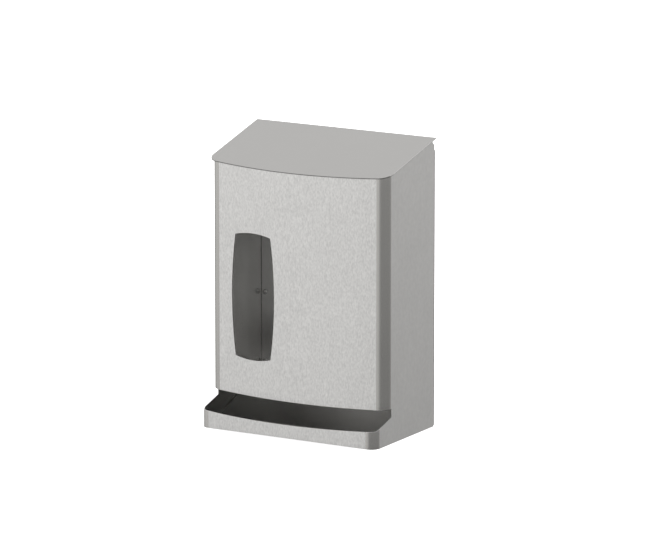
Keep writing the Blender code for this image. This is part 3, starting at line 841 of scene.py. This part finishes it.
def build_lid():
    """A flat plate, laid into the sloping plane from its rear edge."""
    path, bend_start, bend_end = bowed(PANEL_DEPTH, PANEL_BOW, PANEL_BEND)
    half = []
    for s in spaced(0, bend_start, 0.0045) + spaced(bend_start, bend_end, 0.0009)[1:]:
        point, normal = path.at(s)
        at = point + normal * LID_OVERHANG
        half.append((at.x, (y_of(LID_REAR_DEPTH) - at.y) / math.cos(LID_SLOPE)))
    wide = WIDTH / 2 + LID_OVERHANG
    outline = [(-u, v) for u, v in reversed(half[1:])] + half
    for side in (1, -1):
        for k in range(9):       # small round at the rear corners
            a = math.pi / 2 * k / 8
            c, s = (math.cos(a), math.sin(a)) if side > 0 else (math.sin(a), math.cos(a))
            outline.append((side * (wide - 0.0012 + 0.0012 * c), 0.0012 - 0.0012 * s))
    slope_y, slope_z = -math.cos(LID_SLOPE), -math.sin(LID_SLOPE)
    normal = Vector((0, -math.sin(LID_SLOPE), math.cos(LID_SLOPE)))

    def place(u, v):
        return (
            Vector((u, y_of(LID_REAR_DEPTH) + slope_y * v, LID_REAR_Z + slope_z * v)),
            normal,
        )

    sheet(
        "lid_plate",
        [outline],
        spaced(-0.12, 0.12, 0.06),
        (0.04, 0.08, 0.12),
        place,
        LID_SHEET,
        ("lid", "painted_shadow_edge", "edge"),
        # the front cut edge takes the edge finish painted dark as the shadow under the lid's
        # overhang
        lambda u, v, face: 0 if face < 2 else 2 if abs(u) > WIDTH / 2 + 0.0020 or v < 0.01 else 1,
        edge=0.00030,
        body="lid",
        node="lid_panel",
    )


def ring_of(x, z, radius, steps):
    return [
        (
            x + radius * math.cos(2 * math.pi * k / steps),
            z + radius * math.sin(2 * math.pi * k / steps),
        )
        for k in range(steps)
    ]


def build_back():
    r = 0.003
    outline = []
    for i, (sx, z) in enumerate(((1, 0.0), (1, BACK_TOP), (-1, BACK_TOP), (-1, 0.0))):
        mx, mz = sx * (BACK_HALF - r), z + (r if z == 0 else -r)
        start = (-90, 0, 90, 180)[i]
        for k in range(9):
            a = math.radians(start + 90 * k / 8)
            outline.append((mx + r * math.cos(a), mz + r * math.sin(a)))
    loops = [outline]
    for side in (-1, 1):
        loops += [ring_of(side * RIVET_X, z, RIVET_HOLE_R, 32) for z in RIVET_Z]
        loops.append(ring_of(side * SCREW_X, SCREW_LOW_Z, SCREW_HOLE_R, 40))
        mouth = math.asin(SCREW_HOLE_R / KEYHOLE_R)
        keyhole = []
        for k in range(41):
            a = math.pi / 2 + mouth + (2 * math.pi - 2 * mouth) * k / 40
            keyhole.append(
                (
                    side * SCREW_X + KEYHOLE_R * math.cos(a),
                    SCREW_TOP_Z + KEYHOLE_R * math.sin(a),
                )
            )
        for k in range(17):
            a = math.pi * k / 16
            keyhole.append(
                (
                    side * SCREW_X + SCREW_HOLE_R * math.cos(a),
                    SCREW_TOP_Z + 0.0115 + SCREW_HOLE_R * math.sin(a),
                )
            )
        loops.append(keyhole)
    loops += [ring_of(x, HINGE_RIVET_Z, RIVET_HOLE_R, 32) for x in HINGE_RIVET_X]

    sheet(
        "rear_sheet",
        loops,
        spaced(-0.12, 0.12, 0.04),
        spaced(0.04, 0.36, 0.04),
        lambda u, v: (Vector((u, REAR_Y, v)), Vector((0, 1, 0))),
        SHEET,
        ("back", "matt", "edge"),
        lambda u, v, face: (0, 1, 2)[face],
        edge=0.00018,
        node="back_panel",
    )


def build_floor_sheet():
    """The tray's floor and the ramp, folded from one sheet, with a tab at the
    rear and an ear along each side."""
    half_in = WIDTH / 2 - SHEET - SLACK
    rise = math.atan2(RAMP_TOP - FLOOR_TOP, FLOOR_FOLD_DEPTH - RAMP_DEPTH)
    # the profile runs from the front edge to the rear, its face upwards
    front = 0.1850
    profile = through(
        [
            (y_of(front), FLOOR_TOP),
            (y_of(FLOOR_FOLD_DEPTH), FLOOR_TOP),
            (y_of(RAMP_DEPTH), RAMP_TOP),
            (y_of(RAMP_DEPTH), RAMP_TOP + RAMP_FLANGE),
        ],
        (0.0040, 0.0016),
    )
    ramp_run = math.hypot(RAMP_TOP - FLOOR_TOP, FLOOR_FOLD_DEPTH - RAMP_DEPTH)
    # lengths along the profile, with what its arcs save
    save_low = 2 * 0.0040 * math.tan(rise / 2) - 0.0040 * rise
    up = math.pi / 2 - rise
    save_high = 2 * 0.0016 * math.tan(up / 2) - 0.0016 * up
    fold = front - FLOOR_FOLD_DEPTH - save_low / 2
    high = fold - save_low / 2 + ramp_run - save_high / 2
    last = profile.length
    ear_bend = 0.0016
    ear_start = half_in - ear_bend
    turn = ear_bend * math.pi / 2

    def place(u, v):
        point, normal = profile.at(v)
        # Path has its face on the right hand: turned over, it is the upper face
        point = Vector((0, point.x, point.y))
        up_way = -Vector((0, normal.x, normal.y))
        side, s = (-1 if u < 0 else 1), abs(u)
        across = Vector((side, 0, 0))
        if s <= ear_start:
            return point + across * s, up_way
        a = min(s - ear_start, turn) / ear_bend
        down = max(0.0, s - ear_start - turn)
        centre = point + across * ear_start - up_way * ear_bend
        out = across * math.sin(a) + up_way * math.cos(a)
        return centre + out * ear_bend - up_way * down, out

    nose, nose_bend, nose_end = bowed(
        LIP_DEPTH - SHEET - SLACK, LIP_BOW - SHEET - SLACK, LIP_BEND - SHEET - SLACK, half_in
    )
    half = []
    for s in spaced(0, nose_bend, 0.0045) + spaced(nose_bend, nose_end, 0.0009)[1:]:
        at = nose.at(s)[0]
        if at.x < ear_start:
            half.append((at.x, at.y - y_of(front)))
    ear_low, ear_high = 0.0040, 0.0068
    nose_v = nose.at(nose_end)[0].y - y_of(front)
    half += [(ear_start, nose_v - 0.0042), (ear_start + turn, nose_v)]
    half += [(ear_start + turn + ear_low, nose_v + 0.001)]
    half += [(ear_start + turn + ear_low, fold - 0.0045), (ear_start, fold - 0.0045)]
    half += [(ear_start, fold + 0.0045), (ear_start + turn + ear_high, fold + 0.0045)]
    half += [(ear_start + turn + ear_high, high - 0.0040), (ear_start, high - 0.0040)]
    half += [(ear_start, high - 0.0015), (RAMP_TAB_HALF, high - 0.0010)]
    half += [(RAMP_TAB_HALF, last - 0.002)]
    half += [
        (
            RAMP_TAB_HALF - 0.002 + 0.002 * math.cos(math.pi / 2 * k / 6),
            last - 0.002 + 0.002 * math.sin(math.pi / 2 * k / 6),
        )
        for k in range(1, 7)
    ]
    half.append((0.0, last))
    folds = spaced(fold - 0.0012, fold + 0.0012, 0.0002)
    folds += spaced(high - 0.0014, high + 0.0014, 0.0002)
    sheet(
        "tray_floor_sheet",
        [mirrored_loop(half)],
        both_sides([0.0, 0.04, 0.08] + spaced(ear_start, ear_start + turn, 0.0003)),
        folds + [0.03, 0.05] + spaced(0.10, high - 0.02, 0.03),
        place,
        FLOOR_SHEET,
        ("floor", "inside", "edge", "ear"),
        lambda u, v, face: 3 if face == 0 and abs(u) > ear_start else (0, 1, 2)[face],
        edge=0.00015,
        node="tray_floor",
    )


# ------------------------------------------------------------ hinge and rivets
def build_hinge():
    step = 2 * HINGE_HALF / KNUCKLES
    clear = HINGE_MID_R + HINGE_SHEET / 2 + 0.0007
    outer_r = HINGE_MID_R + HINGE_SHEET / 2

    def comb(length, slot_start, removed):
        """Outline of a leaf with its knuckles at one end, in (x, length)."""
        outline = [(-HINGE_HALF, 0.0), (HINGE_HALF, 0.0)]
        for k in reversed(range(KNUCKLES)):
            left, right = -HINGE_HALF + k * step, -HINGE_HALF + (k + 1) * step
            gap_l = KNUCKLE_GAP / 2 if k else 0.0
            gap_r = KNUCKLE_GAP / 2 if k < KNUCKLES - 1 else 0.0
            if k % 2 == removed:
                tip = [(right + gap_r, slot_start), (left - gap_l, slot_start)]
            else:
                tip = [(right - gap_r, length), (left + gap_l, length)]
            outline += tip
        tidy = []
        for p in outline:
            if not tidy or (Vector(p) - Vector(tidy[-1])).length > 1e-6:
                tidy.append(p)
        return tidy

    # fixed leaf: up the back sheet, a joggle forward, then round the pin
    leaf_y = y_of(SHEET + 2 * SLACK)        # its rear face
    tangent_y = HINGE_Y + outer_r
    fixed = through(
        [
            (leaf_y, LEAF_BOTTOM),
            (leaf_y, HINGE_Z - 0.0100),
            (tangent_y, HINGE_Z - 0.0068),
            (tangent_y, HINGE_Z),
        ],
        (0.0020, 0.0020),
    )
    straight = fixed.length
    fixed.arc(outer_r, math.radians(290))

    def place_fixed(u, v):
        point, normal = fixed.at(v)
        return Vector((u, point.x, point.y)), Vector((0, normal.x, normal.y))

    rings = spaced(straight, fixed.length, outer_r * math.radians(6))
    joggle = spaced(HINGE_Z - 0.0110 - LEAF_BOTTOM, straight, 0.0005)
    sheet(
        "hinge_leaf_rear",
        [comb(fixed.length, straight - clear, 1)]
        + [ring_of(x, HINGE_RIVET_Z - LEAF_BOTTOM, RIVET_HOLE_R, 32) for x in HINGE_RIVET_X],
        spaced(-0.1, 0.1, 0.05),
        joggle + rings[:-1],
        place_fixed,
        HINGE_SHEET,
        ("hinge",),
        lambda u, v, face: 0,
        edge=0.00012,
        node="hinge_leaf_fixed",
    )

    # the lid's leaf: back along the lid's underside, then round the pin the other way
    normal = Vector((-math.sin(LID_SLOPE), math.cos(LID_SLOPE)))
    forward = Vector((-math.cos(LID_SLOPE), -math.sin(LID_SLOPE)))
    start = Vector((HINGE_Y, HINGE_Z)) + normal * outer_r + forward * LID_LEAF
    upper = Path(start, math.atan2(-forward.y, -forward.x))
    upper.line(LID_LEAF)
    upper.arc(outer_r, -math.radians(290))

    def place_upper(u, v):
        point, way = upper.at(v)
        return Vector((u, point.x, point.y)), -Vector((0, way.x, way.y))

    rings = spaced(LID_LEAF, upper.length, outer_r * math.radians(6))
    sheet(
        "hinge_leaf_top",
        [comb(upper.length, LID_LEAF - clear, 0)],
        spaced(-0.1, 0.1, 0.05),
        [LID_LEAF / 2] + rings[:-1],
        place_upper,
        HINGE_SHEET,
        ("hinge",),
        lambda u, v, face: 0,
        edge=0.00012,
        body="lid",
        node="hinge_leaf_lid",
    )

    pin_half = HINGE_HALF + 0.0010
    pin = turned(
        [(0, pin_half), (PIN_R - 0.0004, pin_half)]
        + [
            (
                PIN_R - 0.0004 + 0.0004 * math.sin(a),
                pin_half - 0.0004 + 0.0004 * math.cos(a),
            )
            for a in [math.pi / 2 * k / 4 for k in range(1, 5)]
        ]
        + [(PIN_R, 0.0)],
        40,
        both_ends=True,
    )
    pin.transform(
        Matrix.Translation((0, HINGE_Y, HINGE_Z)) @ Matrix.Rotation(math.pi / 2, 4, "Y")
    )
    solid("hinge_rod", pin, "hinge", "hinge_pin")


def turned(profile, steps, both_ends=False):
    """A turned mesh about Z from (radius, z) points, top to bottom."""
    if both_ends:
        profile = profile + [(r, -z) for r, z in reversed(profile[:-1])]
    bm = bmesh.new()
    verts = [bm.verts.new((r, 0, z)) for r, z in profile]
    edges = [bm.edges.new(pair) for pair in zip(verts, verts[1:])]
    bmesh.ops.spin(
        bm,
        geom=verts + edges,
        cent=(0, 0, 0),
        axis=(0, 0, 1),
        angle=2 * math.pi,
        steps=steps,
    )
    bmesh.ops.remove_doubles(bm, verts=bm.verts[:], dist=1e-7)
    bmesh.ops.recalc_face_normals(bm, faces=bm.faces[:])
    mesh = bpy.data.meshes.new("turned")
    bm.to_mesh(mesh)
    bm.free()
    return mesh


def solid(name, mesh, finish, node, body="housing"):
    bm = bmesh.new()
    bm.from_mesh(mesh)
    return finished(name, bm, (finish,), body, node)


def build_rivets():
    """Blind rivets: a low domed head on the inside, with a flat rim, and a
    shank that ends just short of the wall plane."""

    def rivet(name, x, z, seat, node):
        tail = -(seat - 0.00015)
        dome = [
            (RIVET_HEAD_R * math.sin(a), RIVET_HEAD_H * math.cos(a))
            for a in [math.pi / 2 * i / 14 for i in range(15)]
        ]
        dome[0] = (0.0, RIVET_HEAD_H)
        profile = dome[:-1] + [
            (RIVET_HEAD_R, 0.0001),
            (RIVET_HEAD_R - 0.0001, 0.0),
            (RIVET_SHANK_R, 0.0),
            (RIVET_SHANK_R, tail + 0.0003),
            (RIVET_SHANK_R - 0.0003, tail),
            (0.0, tail),
        ]
        mesh = turned(profile, 40)
        mesh.transform(
            Matrix.Translation((x, y_of(seat), z)) @ Matrix.Rotation(math.pi / 2, 4, "X")
        )
        solid(name, mesh, "rivet", node)

    seat = FLANGE_PLANE + SHEET + SLACK
    number = 0
    for side in (-1, 1):
        for z in RIVET_Z:
            number += 1
            rivet(f"rivet_rear_{number}", side * RIVET_X, z, seat, f"back_rivet_{number}")
    seat = SHEET + 2 * SLACK + HINGE_SHEET + SLACK
    for number, x in enumerate(HINGE_RIVET_X, 1):
        rivet(f"rivet_hinge_{number}", x, HINGE_RIVET_Z, seat, f"hinge_rivet_{number}")


# ------------------------------------------------------------ all of it
scene.view_settings.view_transform = "Standard"
scene.view_settings.look = "None"
build_camera()
build_floor()
build_world()
build_housing()
build_lip()
build_lid()
build_back()
build_floor_sheet()
build_hinge()
build_rivets()
